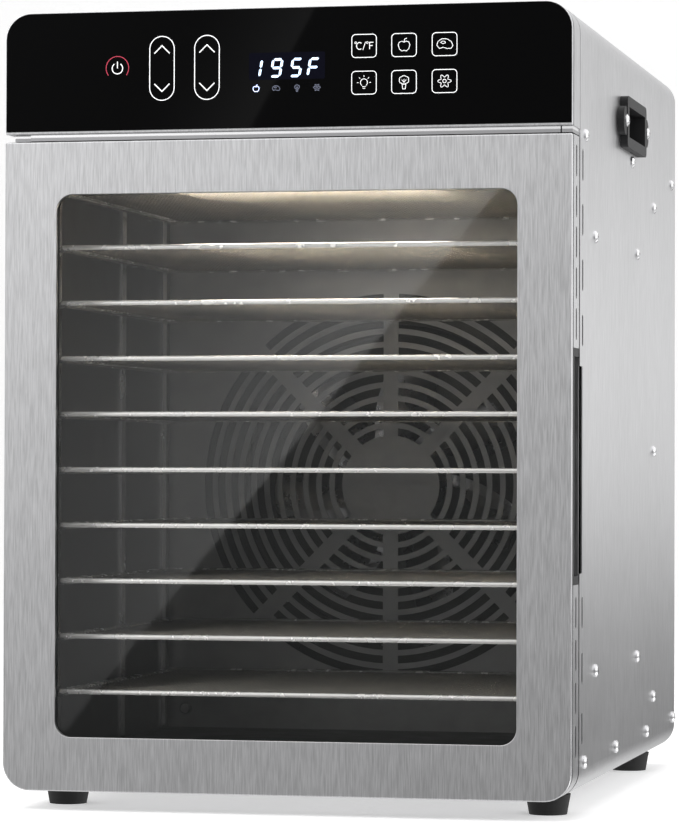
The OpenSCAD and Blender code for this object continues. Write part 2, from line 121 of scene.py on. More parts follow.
FLOOR_FRONT, FLOOR_BACK, FLOOR_HALF_WIDTH = -8.0, 3.0, 7.0
CURVE_RADIUS, CURVE_STEPS, BACKDROP_TOP = 1.5, 12, 6.0


def sweep_floor():
    profile = [(FLOOR_FRONT, 0.0), (FLOOR_BACK, 0.0)]
    for k in range(1, CURVE_STEPS + 1):
        a = math.radians(90 * k / CURVE_STEPS)
        profile.append((FLOOR_BACK + CURVE_RADIUS * math.sin(a),
                        CURVE_RADIUS - CURVE_RADIUS * math.cos(a)))
    profile.append((FLOOR_BACK + CURVE_RADIUS, BACKDROP_TOP))
    verts = [(x, y, z) for y, z in profile for x in (-FLOOR_HALF_WIDTH, FLOOR_HALF_WIDTH)]
    faces = [(2 * k, 2 * k + 1, 2 * k + 3, 2 * k + 2) for k in range(len(profile) - 1)]
    mesh = bpy.data.meshes.new("studio_floor")
    mesh.from_pydata(verts, [], faces)
    mesh.shade_smooth()
    return make_object("studio_floor", mesh)


floor = sweep_floor()
floor_paint = bpy.data.materials.new("floor_paint")
floor_paint.use_nodes = True
floor_shader = floor_paint.node_tree.nodes["Principled BSDF"]
floor_shader.inputs["Base Color"].default_value = (0.9, 0.9, 0.9, 1)
floor_shader.inputs["Roughness"].default_value = 0.8
floor_shader.inputs["Specular IOR Level"].default_value = 0.1
floor_shader.inputs["Emission Color"].default_value = (1, 1, 1, 1)
floor_shader.inputs["Emission Strength"].default_value = 0.30
floor.data.materials.append(floor_paint)
floor.visible_glossy = False

# %% Soft light panels
world = bpy.data.worlds.new("studio_air")
scene.world = world
world.use_nodes = True
world.node_tree.nodes["Background"].inputs["Color"].default_value = (1, 1, 1, 1)
world.node_tree.nodes["Background"].inputs["Strength"].default_value = 0.55


def light_panel(name, place, target, width, height, power):
    data = bpy.data.lights.new(name, "AREA")
    data.shape = "RECTANGLE"
    data.size = width
    data.size_y = height
    data.energy = power
    lamp = bpy.data.objects.new(name, data)
    lamp.visible_glossy = False
    scene.collection.objects.link(lamp)
    lamp.location = place
    lamp.rotation_euler = (Vector(target) - Vector(place)).to_track_quat("-Z", "Y").to_euler()
    return lamp


light_panel("panel_front", (-0.5, -1.7, 1.5), (0, -0.2, 0.35), 1.4, 0.9, 22)
light_panel("panel_right", (2.0, -0.5, 1.0), (0.1, 0.0, 0.25), 1.0, 1.4, 14)
light_panel("panel_left", (-2.0, -0.4, 0.9), (-0.1, 0.0, 0.25), 1.0, 1.4, 10)
light_panel("panel_top", (0, 0.2, 2.0), (0, 0, 0.4), 1.6, 1.6, 14)

# %% Cards for the steel to reflect
CARD_LOW, CARD_HIGH = -0.8, 1.6
CARD_PEAK = 3.0


def card_ramp(tree, source, stops, low, high):
    """Turns a measure from low to high into a card's radiance, by straight steps between stops."""
    place = tree.nodes.new("ShaderNodeMapRange")
    place.inputs["From Min"].default_value = low
    place.inputs["From Max"].default_value = high
    tree.links.new(source, place.inputs["Value"])
    ramp = tree.nodes.new("ShaderNodeValToRGB")
    steps = ramp.color_ramp.elements
    while len(steps) < len(stops):
        steps.new(0.5)
    for step, (where, radiance) in zip(steps, stops):
        step.position = (where - low) / (high - low)
        step.color = (radiance / CARD_PEAK,) * 3 + (1,)
    tree.links.new(place.outputs["Result"], ramp.inputs["Fac"])
    return ramp.outputs["Color"]


def math_node(tree, operation, a, b=0.0, c=0.0, clamp=False):
    """One step of arithmetic, in a shader or a geometry tree, on numbers or sockets."""
    node = tree.nodes.new("ShaderNodeMath")
    node.operation = operation
    node.use_clamp = clamp
    for socket, value in zip(node.inputs, (a, b, c)):
        if isinstance(value, (int, float)):
            socket.default_value = value
        else:
            tree.links.new(value, socket)
    return node.outputs[0]


def object_axes(tree):
    """Sockets of the X, Y and Z of a point on the object."""
    where = tree.nodes.new("ShaderNodeTexCoord")
    split = tree.nodes.new("ShaderNodeSeparateXYZ")
    tree.links.new(where.outputs["Object"], split.inputs[0])
    return [split.outputs[axis] for axis in "XYZ"]


def blank_card(name, corners):
    """A card that only reflections see, with an empty material."""
    mesh = bpy.data.meshes.new(name)
    mesh.from_pydata(corners, [], [(0, 1, 2, 3)])
    card = make_object(name, mesh)
    for flag in ("visible_camera", "visible_diffuse", "visible_shadow", "visible_transmission"):
        setattr(card, flag, False)
    glow = bpy.data.materials.new(name)
    glow.use_nodes = True
    glow.node_tree.nodes.clear()
    mesh.materials.append(glow)
    return card, glow.node_tree


def reflecting_card(name, corners, stops, glare=None):
    card, tree = blank_card(name, corners)
    x, _, z = object_axes(tree)
    radiance = card_ramp(tree, z, stops, CARD_LOW, CARD_HIGH)
    if glare:
        radiance = glare(tree, x, radiance)
    light = tree.nodes.new("ShaderNodeEmission")
    light.inputs["Strength"].default_value = CARD_PEAK
    tree.links.new(radiance, light.inputs["Color"])
    out = tree.nodes.new("ShaderNodeOutputMaterial")
    tree.links.new(light.outputs[0], out.inputs["Surface"])
    return card


def falls_to_the_right(tree, x, radiance):
    """The front card is brighter on the left, where its lamp stands."""
    fall = tree.nodes.new("ShaderNodeMapRange")
    for socket, value in (("From Min", -0.55), ("From Max", 0.05),
                          ("To Min", 1.0), ("To Max", 0.64)):
        fall.inputs[socket].default_value = value
    tree.links.new(x, fall.inputs["Value"])
    return math_node(tree, "MULTIPLY", radiance, fall.outputs["Result"])


# each stop is a height and the card's radiance there
ROUND_STOPS = ((-0.8, 1.3), (-0.45, 1.1), (-0.22, 0.40), (-0.08, 0.18), (0.035, 0.36),
               (0.10, 0.57), (0.184, 0.84), (0.30, 0.94), (0.42, 0.90), (0.60, 0.70),
               (1.0, 0.80), (1.6, 1.2))
FRONT_STOPS = ((-0.8, 0.30), (-0.4, 0.30), (-0.08, 0.55), (-0.04, 0.575), (0.04, 0.655),
               (0.175, 0.77), (0.31, 0.95), (0.40, 1.02), (0.48, 1.08), (0.8, 1.4),
               (1.0, 1.6), (1.6, 1.4))
RIGHT_GAIN = 1.8
EDGE_STOPS = tuple((height, min(CARD_PEAK, radiance * RIGHT_GAIN))
                   for height, radiance in ROUND_STOPS)
TOP_LEVEL, BOTTOM_LEVEL = 1.6, 0.9
SIDE_X, FRONT_Y, BACK_Y = 1.4, -1.3, 1.35


def upright_corners(a, b):
    """Four corners of an upright card between two points of the floor plan."""
    return [(*a, CARD_LOW), (*b, CARD_LOW), (*b, CARD_HIGH), (*a, CARD_HIGH)]


for name, a, b, stops, edges in (
        ("card_front", (-SIDE_X, FRONT_Y), (SIDE_X, FRONT_Y), FRONT_STOPS, falls_to_the_right),
        ("card_back", (SIDE_X, BACK_Y), (-SIDE_X, BACK_Y), ROUND_STOPS, None),
        ("card_left", (-SIDE_X, BACK_Y), (-SIDE_X, FRONT_Y), ROUND_STOPS, None),
        ("card_right", (SIDE_X, FRONT_Y), (SIDE_X, BACK_Y), EDGE_STOPS, None)):
    reflecting_card(name, upright_corners(a, b), stops, edges)
for name, z, level in (("card_top", CARD_HIGH, TOP_LEVEL),
                       ("card_bottom", CARD_LOW, BOTTOM_LEVEL)):
    reflecting_card(name, [(-SIDE_X, FRONT_Y, z), (SIDE_X, FRONT_Y, z), (SIDE_X, BACK_Y, z),
                           (-SIDE_X, BACK_Y, z)], ((CARD_LOW, level), (CARD_HIGH, level)))

# %% [markdown]
# ## A softbox for the glass
#
# Glass shows a lamp as a sharp shape where brushed steel only shows a soft tone. The slanting edge
# of a softbox runs across the window, and a short glare stands on the black glass above it. That
# light would be too strong for the steel, so the softbox gets a card of its own. The card is clear
# as well as bright, and light linking lets it reach only the two panes.

# %% Slanting softbox seen by the two panes only
def slanted(tree, x, z, x0, z0, ax, az):
    """Distance from the point (x0, z0) on the card along the direction (ax, az)."""
    level = math_node(tree, "MULTIPLY", math_node(tree, "SUBTRACT", x, x0), ax)
    high = math_node(tree, "MULTIPLY", math_node(tree, "SUBTRACT", z, z0), az)
    return math_node(tree, "ADD", level, high)


def fading(tree, distance, reach):
    """One just past an edge, falling to nothing at reach, and nothing before the edge."""
    fade = math_node(tree, "SUBTRACT", 1.0, math_node(tree, "DIVIDE", distance, reach), clamp=True)
    return math_node(tree, "MULTIPLY", fade, math_node(tree, "GREATER_THAN", distance, 0.0))


SOFTBOX_Y = FRONT_Y + 0.02
HEAD_STARTS = 0.498
WINDOW_CORNER, WINDOW_REACH = (-0.065, 0.445), 0.34
HEAD_CORNER, HEAD_REACH, HEAD_GLARE = (-0.226, 0.608), 0.11, 2.8


def glass_softbox(tree, x, z):
    """Strength of the light at a point: a slanting fade for the window, another for the head."""
    across = slanted(tree, x, z, *WINDOW_CORNER, -0.774, 0.634)
    along = slanted(tree, x, z, *WINDOW_CORNER, 0.634, 0.774)
    strength = math_node(tree, "MAXIMUM", math_node(tree, "MULTIPLY_ADD", along, 4.6, 3.6), 0.9)
    window = math_node(tree, "MULTIPLY", fading(tree, across, WINDOW_REACH), strength)
    window = math_node(tree, "MULTIPLY", window, math_node(tree, "LESS_THAN", z, HEAD_STARTS))
    near = fading(tree, slanted(tree, x, z, *HEAD_CORNER, -0.875, 0.485), HEAD_REACH)
    head = math_node(tree, "MULTIPLY", math_node(tree, "MULTIPLY", near, near), HEAD_GLARE)
    head = math_node(tree, "MULTIPLY", head, math_node(tree, "GREATER_THAN", z, HEAD_STARTS))
    return math_node(tree, "ADD", window, head)


softbox, tree = blank_card("glass_softbox",
                           upright_corners((-SIDE_X, SOFTBOX_Y), (SIDE_X, SOFTBOX_Y)))
x, _, z = object_axes(tree)
light = tree.nodes.new("ShaderNodeEmission")
tree.links.new(glass_softbox(tree, x, z), light.inputs["Strength"])
clear = tree.nodes.new("ShaderNodeBsdfTransparent")
both = tree.nodes.new("ShaderNodeAddShader")
out = tree.nodes.new("ShaderNodeOutputMaterial")
tree.links.new(light.outputs[0], both.inputs[0])
tree.links.new(clear.outputs[0], both.inputs[1])
tree.links.new(both.outputs[0], out.inputs["Surface"])
panes = bpy.data.collections.new("panes")
for node_name in ("door_glass", "touch_glass"):
    panes.objects.link(nodes[node_name])
softbox.light_linking.receiver_collection = panes

# %% [markdown]
# ## Finishes
#
# Brushed steel is the finish that matters most here. The sheet was drawn through a fine belt, which
# leaves hairlines all in one direction. Two ways exist: an anisotropic shader, which needs a UV
# direction on every mesh, or a noise that is squeezed across the grain and stretched along it. The
# noise works straight from object coordinates on any mesh, so it is the one used. It shifts the
# colour and the roughness a little and gives a very shallow bump.

# %% A small helper for shader nodes
def new_finish(name):
    finish = bpy.data.materials.new(name)
    finish.use_nodes = True
    return finish, finish.node_tree, finish.node_tree.nodes["Principled BSDF"]


def add_node(tree, kind, **sockets):
    """A node with the named sockets set; an underscore in a name stands for a space."""
    node = tree.nodes.new(kind)
    for key, value in sockets.items():
        node.inputs[key.replace("_", " ")].default_value = value
    return node


def object_noise(tree, scale, detail=3.0):
    where = tree.nodes.new("ShaderNodeTexCoord")
    mapping = add_node(tree, "ShaderNodeMapping", Scale=scale)
    noise = add_node(tree, "ShaderNodeTexNoise", Scale=1.0, Detail=detail, Roughness=0.55)
    tree.links.new(where.outputs["Object"], mapping.inputs["Vector"])
    tree.links.new(mapping.outputs["Vector"], noise.inputs["Vector"])
    return noise


def spread(tree, source, low, high, from_low=0.3, from_high=0.7):
    """Spreads the middle of a noise, or another stretch of a measure, over low to high."""
    remap = add_node(tree, "ShaderNodeMapRange", From_Min=from_low, From_Max=from_high,
                     To_Min=low, To_Max=high)
    tree.links.new(source, remap.inputs["Value"])
    return remap.outputs["Result"]


def varied(tone, amount):
    """The tone made darker and lighter by the same share."""
    return [c * (1 - amount) for c in tone], [min(1, c * (1 + amount)) for c in tone]


def tint(tree, source, dark, light):
    mix = tree.nodes.new("ShaderNodeMix")
    mix.data_type = "RGBA"
    mix.inputs[6].default_value = (*dark, 1)
    mix.inputs[7].default_value = (*light, 1)
    tree.links.new(source, mix.inputs[0])
    return mix.outputs[2]


def bump(tree, shader, source, strength, distance):
    relief = add_node(tree, "ShaderNodeBump", Strength=strength, Distance=distance)
    tree.links.new(source, relief.inputs["Height"])
    tree.links.new(relief.outputs["Normal"], shader.inputs["Normal"])


# %% Brushed steel, with its grain up and down on walls and front to back on flat tops
HAIR_ACROSS, HAIR_ALONG = 1350, 70
HAIR_CONTRAST, HAIR_RELIEF = 0.16, 0.10


def brushed_steel(name, tone, rough):
    finish, tree, shader = new_finish(name)
    shader.inputs["Metallic"].default_value = 1.0
    wall = object_noise(tree, (HAIR_ACROSS, HAIR_ACROSS, HAIR_ALONG))
    top = object_noise(tree, (HAIR_ACROSS, HAIR_ALONG, HAIR_ACROSS))
    facing = tree.nodes.new("ShaderNodeNewGeometry")
    split = tree.nodes.new("ShaderNodeSeparateXYZ")
    tree.links.new(facing.outputs["Normal"], split.inputs[0])
    flat = spread(tree, math_node(tree, "ABSOLUTE", split.outputs["Z"]), 0, 1, 0.65, 0.75)
    grain = tree.nodes.new("ShaderNodeMix")
    tree.links.new(flat, grain.inputs[0])
    tree.links.new(wall.outputs["Fac"], grain.inputs[2])
    tree.links.new(top.outputs["Fac"], grain.inputs[3])
    hair = grain.outputs[0]
    cloud = object_noise(tree, (9, 9, 5), 2)
    both = math_node(tree, "MULTIPLY_ADD", cloud.outputs["Fac"], 0.18, hair)
    amount = spread(tree, both, 0, 1, 0.40, 0.78)
    tree.links.new(tint(tree, amount, *varied(tone, HAIR_CONTRAST)), shader.inputs["Base Color"])
    tree.links.new(spread(tree, hair, rough - 0.03, rough + 0.05), shader.inputs["Roughness"])
    bump(tree, shader, hair, HAIR_RELIEF, 0.0003)
    return finish


# %% Plain and bright metals
def sheet_metal(name, tone, rough, metallic=1.0, scale=60, contrast=0.1):
    finish, tree, shader = new_finish(name)
    shader.inputs["Metallic"].default_value = metallic
    cloud = object_noise(tree, (scale, scale, scale), 4)
    patches = spread(tree, cloud.outputs["Fac"], 0, 1)
    tree.links.new(tint(tree, patches, *varied(tone, contrast)), shader.inputs["Base Color"])
    tree.links.new(spread(tree, cloud.outputs["Fac"], rough - 0.04, rough + 0.06),
                   shader.inputs["Roughness"])
    fine = object_noise(tree, (scale * 12,) * 3, 2)
    bump(tree, shader, fine.outputs["Fac"], 0.04, 0.0003)
    return finish


# %% Plastics, rubber and board
PORES = 2500


def moulded(name, tone, rough, relief=0.15, specular=0.5):
    finish, tree, shader = new_finish(name)
    shader.inputs["Specular IOR Level"].default_value = specular
    cloud = object_noise(tree, (35, 35, 35))
    patches = spread(tree, cloud.outputs["Fac"], 0, 1)
    tree.links.new(tint(tree, patches, *varied(tone, 0.12)), shader.inputs["Base Color"])
    pores = object_noise(tree, (PORES, PORES, PORES), 2)
    tree.links.new(spread(tree, pores.outputs["Fac"], rough - 0.05, rough + 0.08),
                   shader.inputs["Roughness"])
    bump(tree, shader, pores.outputs["Fac"], relief, 0.0002)
    return finish


# %% Glass
def window_pane(name):
    finish, tree, shader = new_finish(name)
    shader.inputs["Base Color"].default_value = (0.010, 0.012, 0.012, 1)
    shader.inputs["Roughness"].default_value = 0.02
    shader.inputs["IOR"].default_value = 1.9
    haze = object_noise(tree, (14, 14, 9))
    tree.links.new(spread(tree, haze.outputs["Fac"], 0.115, 0.125), shader.inputs["Alpha"])
    return finish


def control_glass(name):
    finish, tree, shader = new_finish(name)
    shader.inputs["Specular IOR Level"].default_value = 0.028
    cloud = object_noise(tree, (8, 8, 8), 2)
    tone = tint(tree, cloud.outputs["Fac"], (0.0010, 0.0010, 0.0011), (0.0016, 0.0016, 0.0017))
    tree.links.new(tone, shader.inputs["Base Color"])
    tree.links.new(spread(tree, cloud.outputs["Fac"], 0.02, 0.04), shader.inputs["Roughness"])
    return finish


def printed_ink(name, tone, glow, specular=0.1):
    finish, tree, shader = new_finish(name)
    shader.inputs["Specular IOR Level"].default_value = specular
    shader.inputs["Roughness"].default_value = 0.5
    cloud = object_noise(tree, (400, 400, 400), 2)
    dark = [c * 0.92 for c in tone]
    tree.links.new(tint(tree, cloud.outputs["Fac"], dark, tone), shader.inputs["Base Color"])
    # the glow is real light for the lamp lens, the digits and the lit indicator, and painted light
    # on the plain printed inks
    shader.inputs["Emission Color"].default_value = (*tone, 1)
    shader.inputs["Emission Strength"].default_value = glow
    return finish


# %% Trim with a polished upper half and a satin lower half, their colours painted: a bright highlight above and grey below
def trim_with_painted_highlight(name, split_height, polished, satin):
    finish, tree, shader = new_finish(name)
    shader.inputs["Metallic"].default_value = 1.0
    height = object_axes(tree)[2]
    # Above the split height the colour is a painted highlight, standing for the line of light the
    # top of the trim catches; below it the grey is painted too. Only the roughness split is a real
    # finish.
    upper = spread(tree, height, 0, 1, split_height - 0.0001, split_height + 0.0001)
    cloud = object_noise(tree, (40, 40, 40))
    shine = tint(tree, cloud.outputs["Fac"], [c * 0.97 for c in polished], polished)
    matt = tint(tree, cloud.outputs["Fac"], [c * 0.90 for c in satin], satin)
    tone = tree.nodes.new("ShaderNodeMix")
    tone.data_type = "RGBA"
    tree.links.new(upper, tone.inputs[0])
    tree.links.new(matt, tone.inputs[6])
    tree.links.new(shine, tone.inputs[7])
    tree.links.new(tone.outputs[2], shader.inputs["Base Color"])
    tree.links.new(spread(tree, upper, 0.34, 0.16, 0, 1), shader.inputs["Roughness"])
    bump(tree, shader, cloud.outputs["Fac"], 0.03, 0.0003)
    return finish


# %% The finishes of this object
# the height where the trim's painted highlight begins, just above its groove
groove_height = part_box("trim_bar")[0].z + 0.0020
finishes = {
    "brushed_steel": brushed_steel("brushed_steel", (0.615, 0.615, 0.625), 0.31),
    # the inner steel is a darker copy of the steel: its dark tone is painted shade for the dim
    # chamber
    "inner_steel": sheet_metal("inner_steel", (0.10, 0.098, 0.092), 0.38),
    "frame_steel": brushed_steel("frame_steel", (0.46, 0.46, 0.465), 0.36),
    "bright_steel": sheet_metal("bright_steel", (0.80, 0.80, 0.81), 0.22, scale=90),
    "grille_steel": sheet_metal("grille_steel", (0.43, 0.425, 0.415), 0.38),
    "tray_steel": sheet_metal("tray_steel", (0.97, 0.96, 0.93), 0.24, metallic=0.7, scale=120,
                              contrast=0.03),
    "wire_steel": sheet_metal("wire_steel", (0.62, 0.59, 0.53), 0.14, scale=300),
    "chrome_trim": trim_with_painted_highlight("chrome_trim", groove_height, (0.97, 0.97, 0.98),
                                 (0.42, 0.42, 0.43)),
    "heater_sheath": sheet_metal("heater_sheath", (0.10, 0.095, 0.09), 0.45),
    "fan_aluminium": sheet_metal("fan_aluminium", (0.62, 0.62, 0.63), 0.28),
    "motor_paint": sheet_metal("motor_paint", (0.05, 0.05, 0.055), 0.4, metallic=0.3),
    "magnet": sheet_metal("magnet", (0.06, 0.06, 0.06), 0.6, metallic=0.4),
    "transformer_core": sheet_metal("transformer_core", (0.35, 0.26, 0.10), 0.5, metallic=0.5),
    "relay_case": moulded("relay_case", (0.02, 0.08, 0.30), 0.3),
    "circuit_board": moulded("circuit_board", (0.01, 0.10, 0.03), 0.35),
    "black_plastic": moulded("black_plastic", (0.012, 0.012, 0.013), 0.50, specular=0.25),
    "bush_nylon": moulded("bush_nylon", (0.75, 0.75, 0.72), 0.4),
    "black_glass": control_glass("black_glass"),
    "window_glass": window_pane("window_glass"),
    "foot_rubber": moulded("foot_rubber", (0.014, 0.014, 0.014), 0.6, relief=0.3, specular=0.3),
    "seal_rubber": moulded("seal_rubber", (0.012, 0.012, 0.012), 0.65, relief=0.25, specular=0.2),
    "lamp_lens": printed_ink("lamp_lens", (1.0, 0.93, 0.80), 3.0),
}
print("finishes", len(finishes))

# %% Put each finish on its CAD nodes
slot_of = {part["node"]: part["material_slot"] for part in frame["record"]["subparts"]}
# the upper hinge bracket takes the trim finish, and with it the painted highlight above the groove
own_finish = {"hinge_bracket_upper": "chrome_trim", "front_frame": "frame_steel"}
for node_name, node in nodes.items():
    finish = finishes[own_finish.get(node_name, slot_of[node_name])]
    node.data.materials.clear()
    node.data.materials.append(finish)
print("nodes painted", len(nodes))

# %% [markdown]
# ## Door face and head surround
#
# The front plate of the door and the steel surround of the control glass have softly rounded edges,
# and on polished sheet such an edge is a thin bright line. A Bevel modifier on the CAD solid would
# also catch its slots and holes, so both pieces are lofted again: a list of closed outlines, each
# at its own depth, with the same number of points in each, joined one after the other into a ring.

# %% A mesh from points and faces, with its normals outwards
def formed(name, verts, faces, finish, sharp=35):
    mesh = bpy.data.meshes.new(name)
    mesh.from_pydata(verts, [], faces)
    tool = bmesh.new()
    tool.from_mesh(mesh)
    bmesh.ops.recalc_face_normals(tool, faces=tool.faces)
    tool.to_mesh(mesh)
    tool.free()
    mesh.materials.append(finish)
    mesh.shade_smooth()
    mesh.set_sharp_from_angle(angle=math.radians(sharp))
    return make_object(name, mesh)


# %% Closed outlines at a depth, joined into a ring
def upright_outline(x0, x1, z0, z1, low_radius, high_radius, steps=8):
    """A rectangle with rounded corners, seen from the front, as (x, z) points."""
    points = []
    for cx, cz, radius, start in ((x1 - high_radius, z1 - high_radius, high_radius, 0),
                                  (x0 + high_radius, z1 - high_radius, high_radius, 90),
                                  (x0 + low_radius, z0 + low_radius, low_radius, 180),
                                  (x1 - low_radius, z0 + low_radius, low_radius, 270)):
        for k in range(steps + 1):
            a = math.radians(start + 90 * k / steps)
            points.append((cx + radius * math.cos(a), cz + radius * math.sin(a)))
    return points


def lofted_ring(name, loops, finish):
    """Joins (outline, depth) loops one after the other, and the last one to the first."""
    count = len(loops[0][0])
    verts = [(x, depth, z) for outline, depth in loops for x, z in outline]
    faces = []
    for i in range(len(loops)):
        for k in range(count):
            n = (k + 1) % count
            a, b = i * count, (i + 1) % len(loops) * count
            faces.append((a + k, a + n, b + n, b + k))
    ring_piece = formed(name, verts, faces, finish)
    for face in ring_piece.data.polygons:
        if abs(face.normal.y) > 0.999:
            face.use_smooth = False
    return ring_piece


def quarter(radius, steps=4):
    """Points of a quarter round as (inset, depth), from the side to the face."""
    turns = [math.radians(90 * k / steps) for k in range(steps + 1)]
    return [(radius * (1 - math.cos(a)), radius * (1 - math.sin(a))) for a in turns]


# %% Door face with a rounded edge
PLATE_T, EDGE_ROUND, WINDOW_ROUND = 0.0026, 0.0009, 0.0004
CORNER_R, WINDOW_R, UPPER_CORNER_R = 0.016, 0.0095, 0.0012
PANE_OVERLAP = 0.0029
pane_low, pane_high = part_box("door_glass")
window_low = pane_low + Vector((PANE_OVERLAP, 0, PANE_OVERLAP))
window_high = pane_high - Vector((PANE_OVERLAP, 0, PANE_OVERLAP))


def door_edge(inset):
    return upright_outline(door_low.x + inset, door_high.x - inset, door_low.z + inset,
                           door_high.z - inset, CORNER_R - inset,
                           UPPER_CORNER_R - min(inset, EDGE_ROUND))


def window_edge(back):
    return upright_outline(window_low.x - back, window_high.x + back, window_low.z - back,
                           window_high.z + back, WINDOW_R + back, WINDOW_R + back)


loops = [(door_edge(0), face_y + PLATE_T)]
loops += [(door_edge(inset), face_y + depth) for inset, depth in quarter(EDGE_ROUND)]
loops += [(window_edge(inset), face_y + depth)
          for inset, depth in reversed(quarter(WINDOW_ROUND, 2))]
loops += [(window_edge(0), face_y + PLATE_T)]
door_face = lofted_ring("door_face", loops, finishes["brushed_steel"])
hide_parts("door_front_plate")
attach(door_face, "door")
print("door face edges rounded by", EDGE_ROUND)

# %% Head surround with a polished edge
surround_low, surround_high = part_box("panel_bezel")
LIP, LIP_LOW, WALL_IN = 0.00055, 0.0015, 0.0024
STEP_FRONT, STEP_BACK, STEP_IN = 0.0018, 0.0054, 0.0012
SLACK = 0.0001
glass_back = face_y + glass_high.y - glass_low.y


def head_edge(inset, bottom=None):
    return upright_outline(surround_low.x + inset, surround_high.x - inset,
                           surround_low.z + (inset if bottom is None else bottom),
                           surround_high.z - inset, 0.0006, CORNER_R - inset)


front, rear = surround_low.y, surround_high.y
loops = [(head_edge(0), front + STEP_FRONT)]
loops += [(head_edge(inset), front + depth) for inset, depth in quarter(LIP)]
loops += [(head_edge(LIP, LIP_LOW), front), (head_edge(LIP, LIP_LOW), glass_back),
          (head_edge(WALL_IN), glass_back), (head_edge(WALL_IN), rear),
          (head_edge(SLACK), rear), (head_edge(SLACK), front + STEP_BACK),
          (head_edge(STEP_IN), front + STEP_BACK), (head_edge(STEP_IN), front + STEP_FRONT)]
surround = lofted_ring("head_surround", loops, finishes["brushed_steel"])
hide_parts("panel_bezel")
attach(surround, "cabinet")
print("head surround from z", round(surround_low.z, 4), "to", round(surround_high.z, 4))

# %% [markdown]
# ## Trays
#
# A tray is a sheet of woven wire held in a folded steel hem. The weave goes over and under, so each
# wire is a zigzag with one step at every crossing, and its neighbour takes the opposite steps.
# Geometry Nodes suit this well: one zigzag wire is made once, swept into a thin three-sided bar,
# and set out in a row, first one way and then the other. The hem is a swept band, made in code,
# with its lower lip folded under the wire.

# %% Zigzag wires laid out in rows
wire_pitch = 0.0037
wire_radius = 0.00044


def stretched(group, direction, size):
    """A direction multiplied by a size, as a vector socket."""
    node = group.nodes.new("ShaderNodeVectorMath")
    node.operation = "SCALE"
    node.inputs[0].default_value = direction
    group.links.new(size, node.inputs["Scale"])
    return node.outputs[0]


def zigzag_row(group, axis, phase, first, count, gap, crossings, lift, radius, start):
    """Every second wire of the weave, along X (axis 0) or Y (axis 1)."""
    add, links = group.nodes.new, group.links.new
    along = (1.0, 0, 0) if axis == 0 else (0, 1.0, 0)
    line = add("GeometryNodeMeshLine")
    line.mode = "OFFSET"
    links(crossings, line.inputs["Count"])
    links(stretched(group, along, gap), line.inputs["Offset"])
    parity = math_node(group, "MODULO", add("GeometryNodeInputIndex").outputs[0], 2.0)
    sign = math_node(group, "MULTIPLY_ADD", parity, 2.0 if phase else -2.0,
                     -1.0 if phase else 1.0)
    rise = add("ShaderNodeCombineXYZ")
    links(math_node(group, "MULTIPLY", sign, lift), rise.inputs["Z"])
    bent = add("GeometryNodeSetPosition")
    links(line.outputs[0], bent.inputs["Geometry"])
    links(rise.outputs[0], bent.inputs["Offset"])
    curve = add("GeometryNodeMeshToCurve")
    links(bent.outputs[0], curve.inputs[0])
    section = add("GeometryNodeCurvePrimitiveCircle")
    section.inputs["Resolution"].default_value = 3
    links(radius, section.inputs["Radius"])
    bar = add("GeometryNodeCurveToMesh")
    links(curve.outputs[0], bar.inputs["Curve"])
    links(section.outputs["Curve"], bar.inputs["Profile Curve"])
    row = add("GeometryNodeMeshLine")
    row.mode = "OFFSET"
    links(count, row.inputs["Count"])
    links(stretched(group, (0, 2.0, 0) if axis == 0 else (2.0, 0, 0), gap), row.inputs["Offset"])
    begin = add("ShaderNodeVectorMath")
    shift = (0, float(first), 0) if axis == 0 else (float(first), 0, 0)
    links(stretched(group, shift, gap), begin.inputs[0])
    links(start, begin.inputs[1])
    links(begin.outputs[0], row.inputs["Start Location"])
    placed = add("GeometryNodeInstanceOnPoints")
    links(row.outputs[0], placed.inputs["Points"])
    links(bar.outputs[0], placed.inputs["Instance"])
    return placed.outputs[0]


# %% The weave as one node tree with named sizes
def new_tree(name, inputs):
    """An empty geometry tree, the node that holds its named inputs, and the one for its result."""
    group = bpy.data.node_groups.new(name, "GeometryNodeTree")
    group.interface.new_socket("Geometry", in_out="OUTPUT", socket_type="NodeSocketGeometry")
    for label, kind in inputs:
        group.interface.new_socket(label, in_out="INPUT", socket_type="NodeSocket" + kind)
    return group, group.nodes.new("NodeGroupInput"), group.nodes.new("NodeGroupOutput")


def realized(group, instances, finish, result):
    """Ends a tree: real geometry from the instances, with its finish."""
    real = group.nodes.new("GeometryNodeRealizeInstances")
    group.links.new(instances, real.inputs[0])
    paint = group.nodes.new("GeometryNodeSetMaterial")
    group.links.new(real.outputs[0], paint.inputs["Geometry"])
    group.links.new(finish, paint.inputs["Material"])
    group.links.new(paint.outputs[0], result.inputs[0])


def weave_tree():
    group, sizes, result = new_tree("woven_wire", (
        ("Pitch", "Float"), ("Lift", "Float"), ("Wire Radius", "Float"), ("Wires Across", "Int"),
        ("Wires Along", "Int"), ("Corner", "Vector"), ("Finish", "Material")))

    def half(count, extra):
        return math_node(group, "FLOOR", math_node(
            group, "DIVIDE", math_node(group, "ADD", count, extra), 2.0))

    pitch, lift, radius = (sizes.outputs[n] for n in ("Pitch", "Lift", "Wire Radius"))
    across, along = sizes.outputs["Wires Across"], sizes.outputs["Wires Along"]
    join = group.nodes.new("GeometryNodeJoinGeometry")
    for axis, own, other in ((0, along, across), (1, across, along)):
        for first in (0, 1):
            phase = first if axis == 0 else 1 - first
            wires = zigzag_row(group, axis, phase, first, half(own, 1.0 - first), pitch, other,
                               lift, radius, sizes.outputs["Corner"])
            group.links.new(wires, join.inputs[0])
    realized(group, join.outputs[0], sizes.outputs["Finish"], result)
    return group


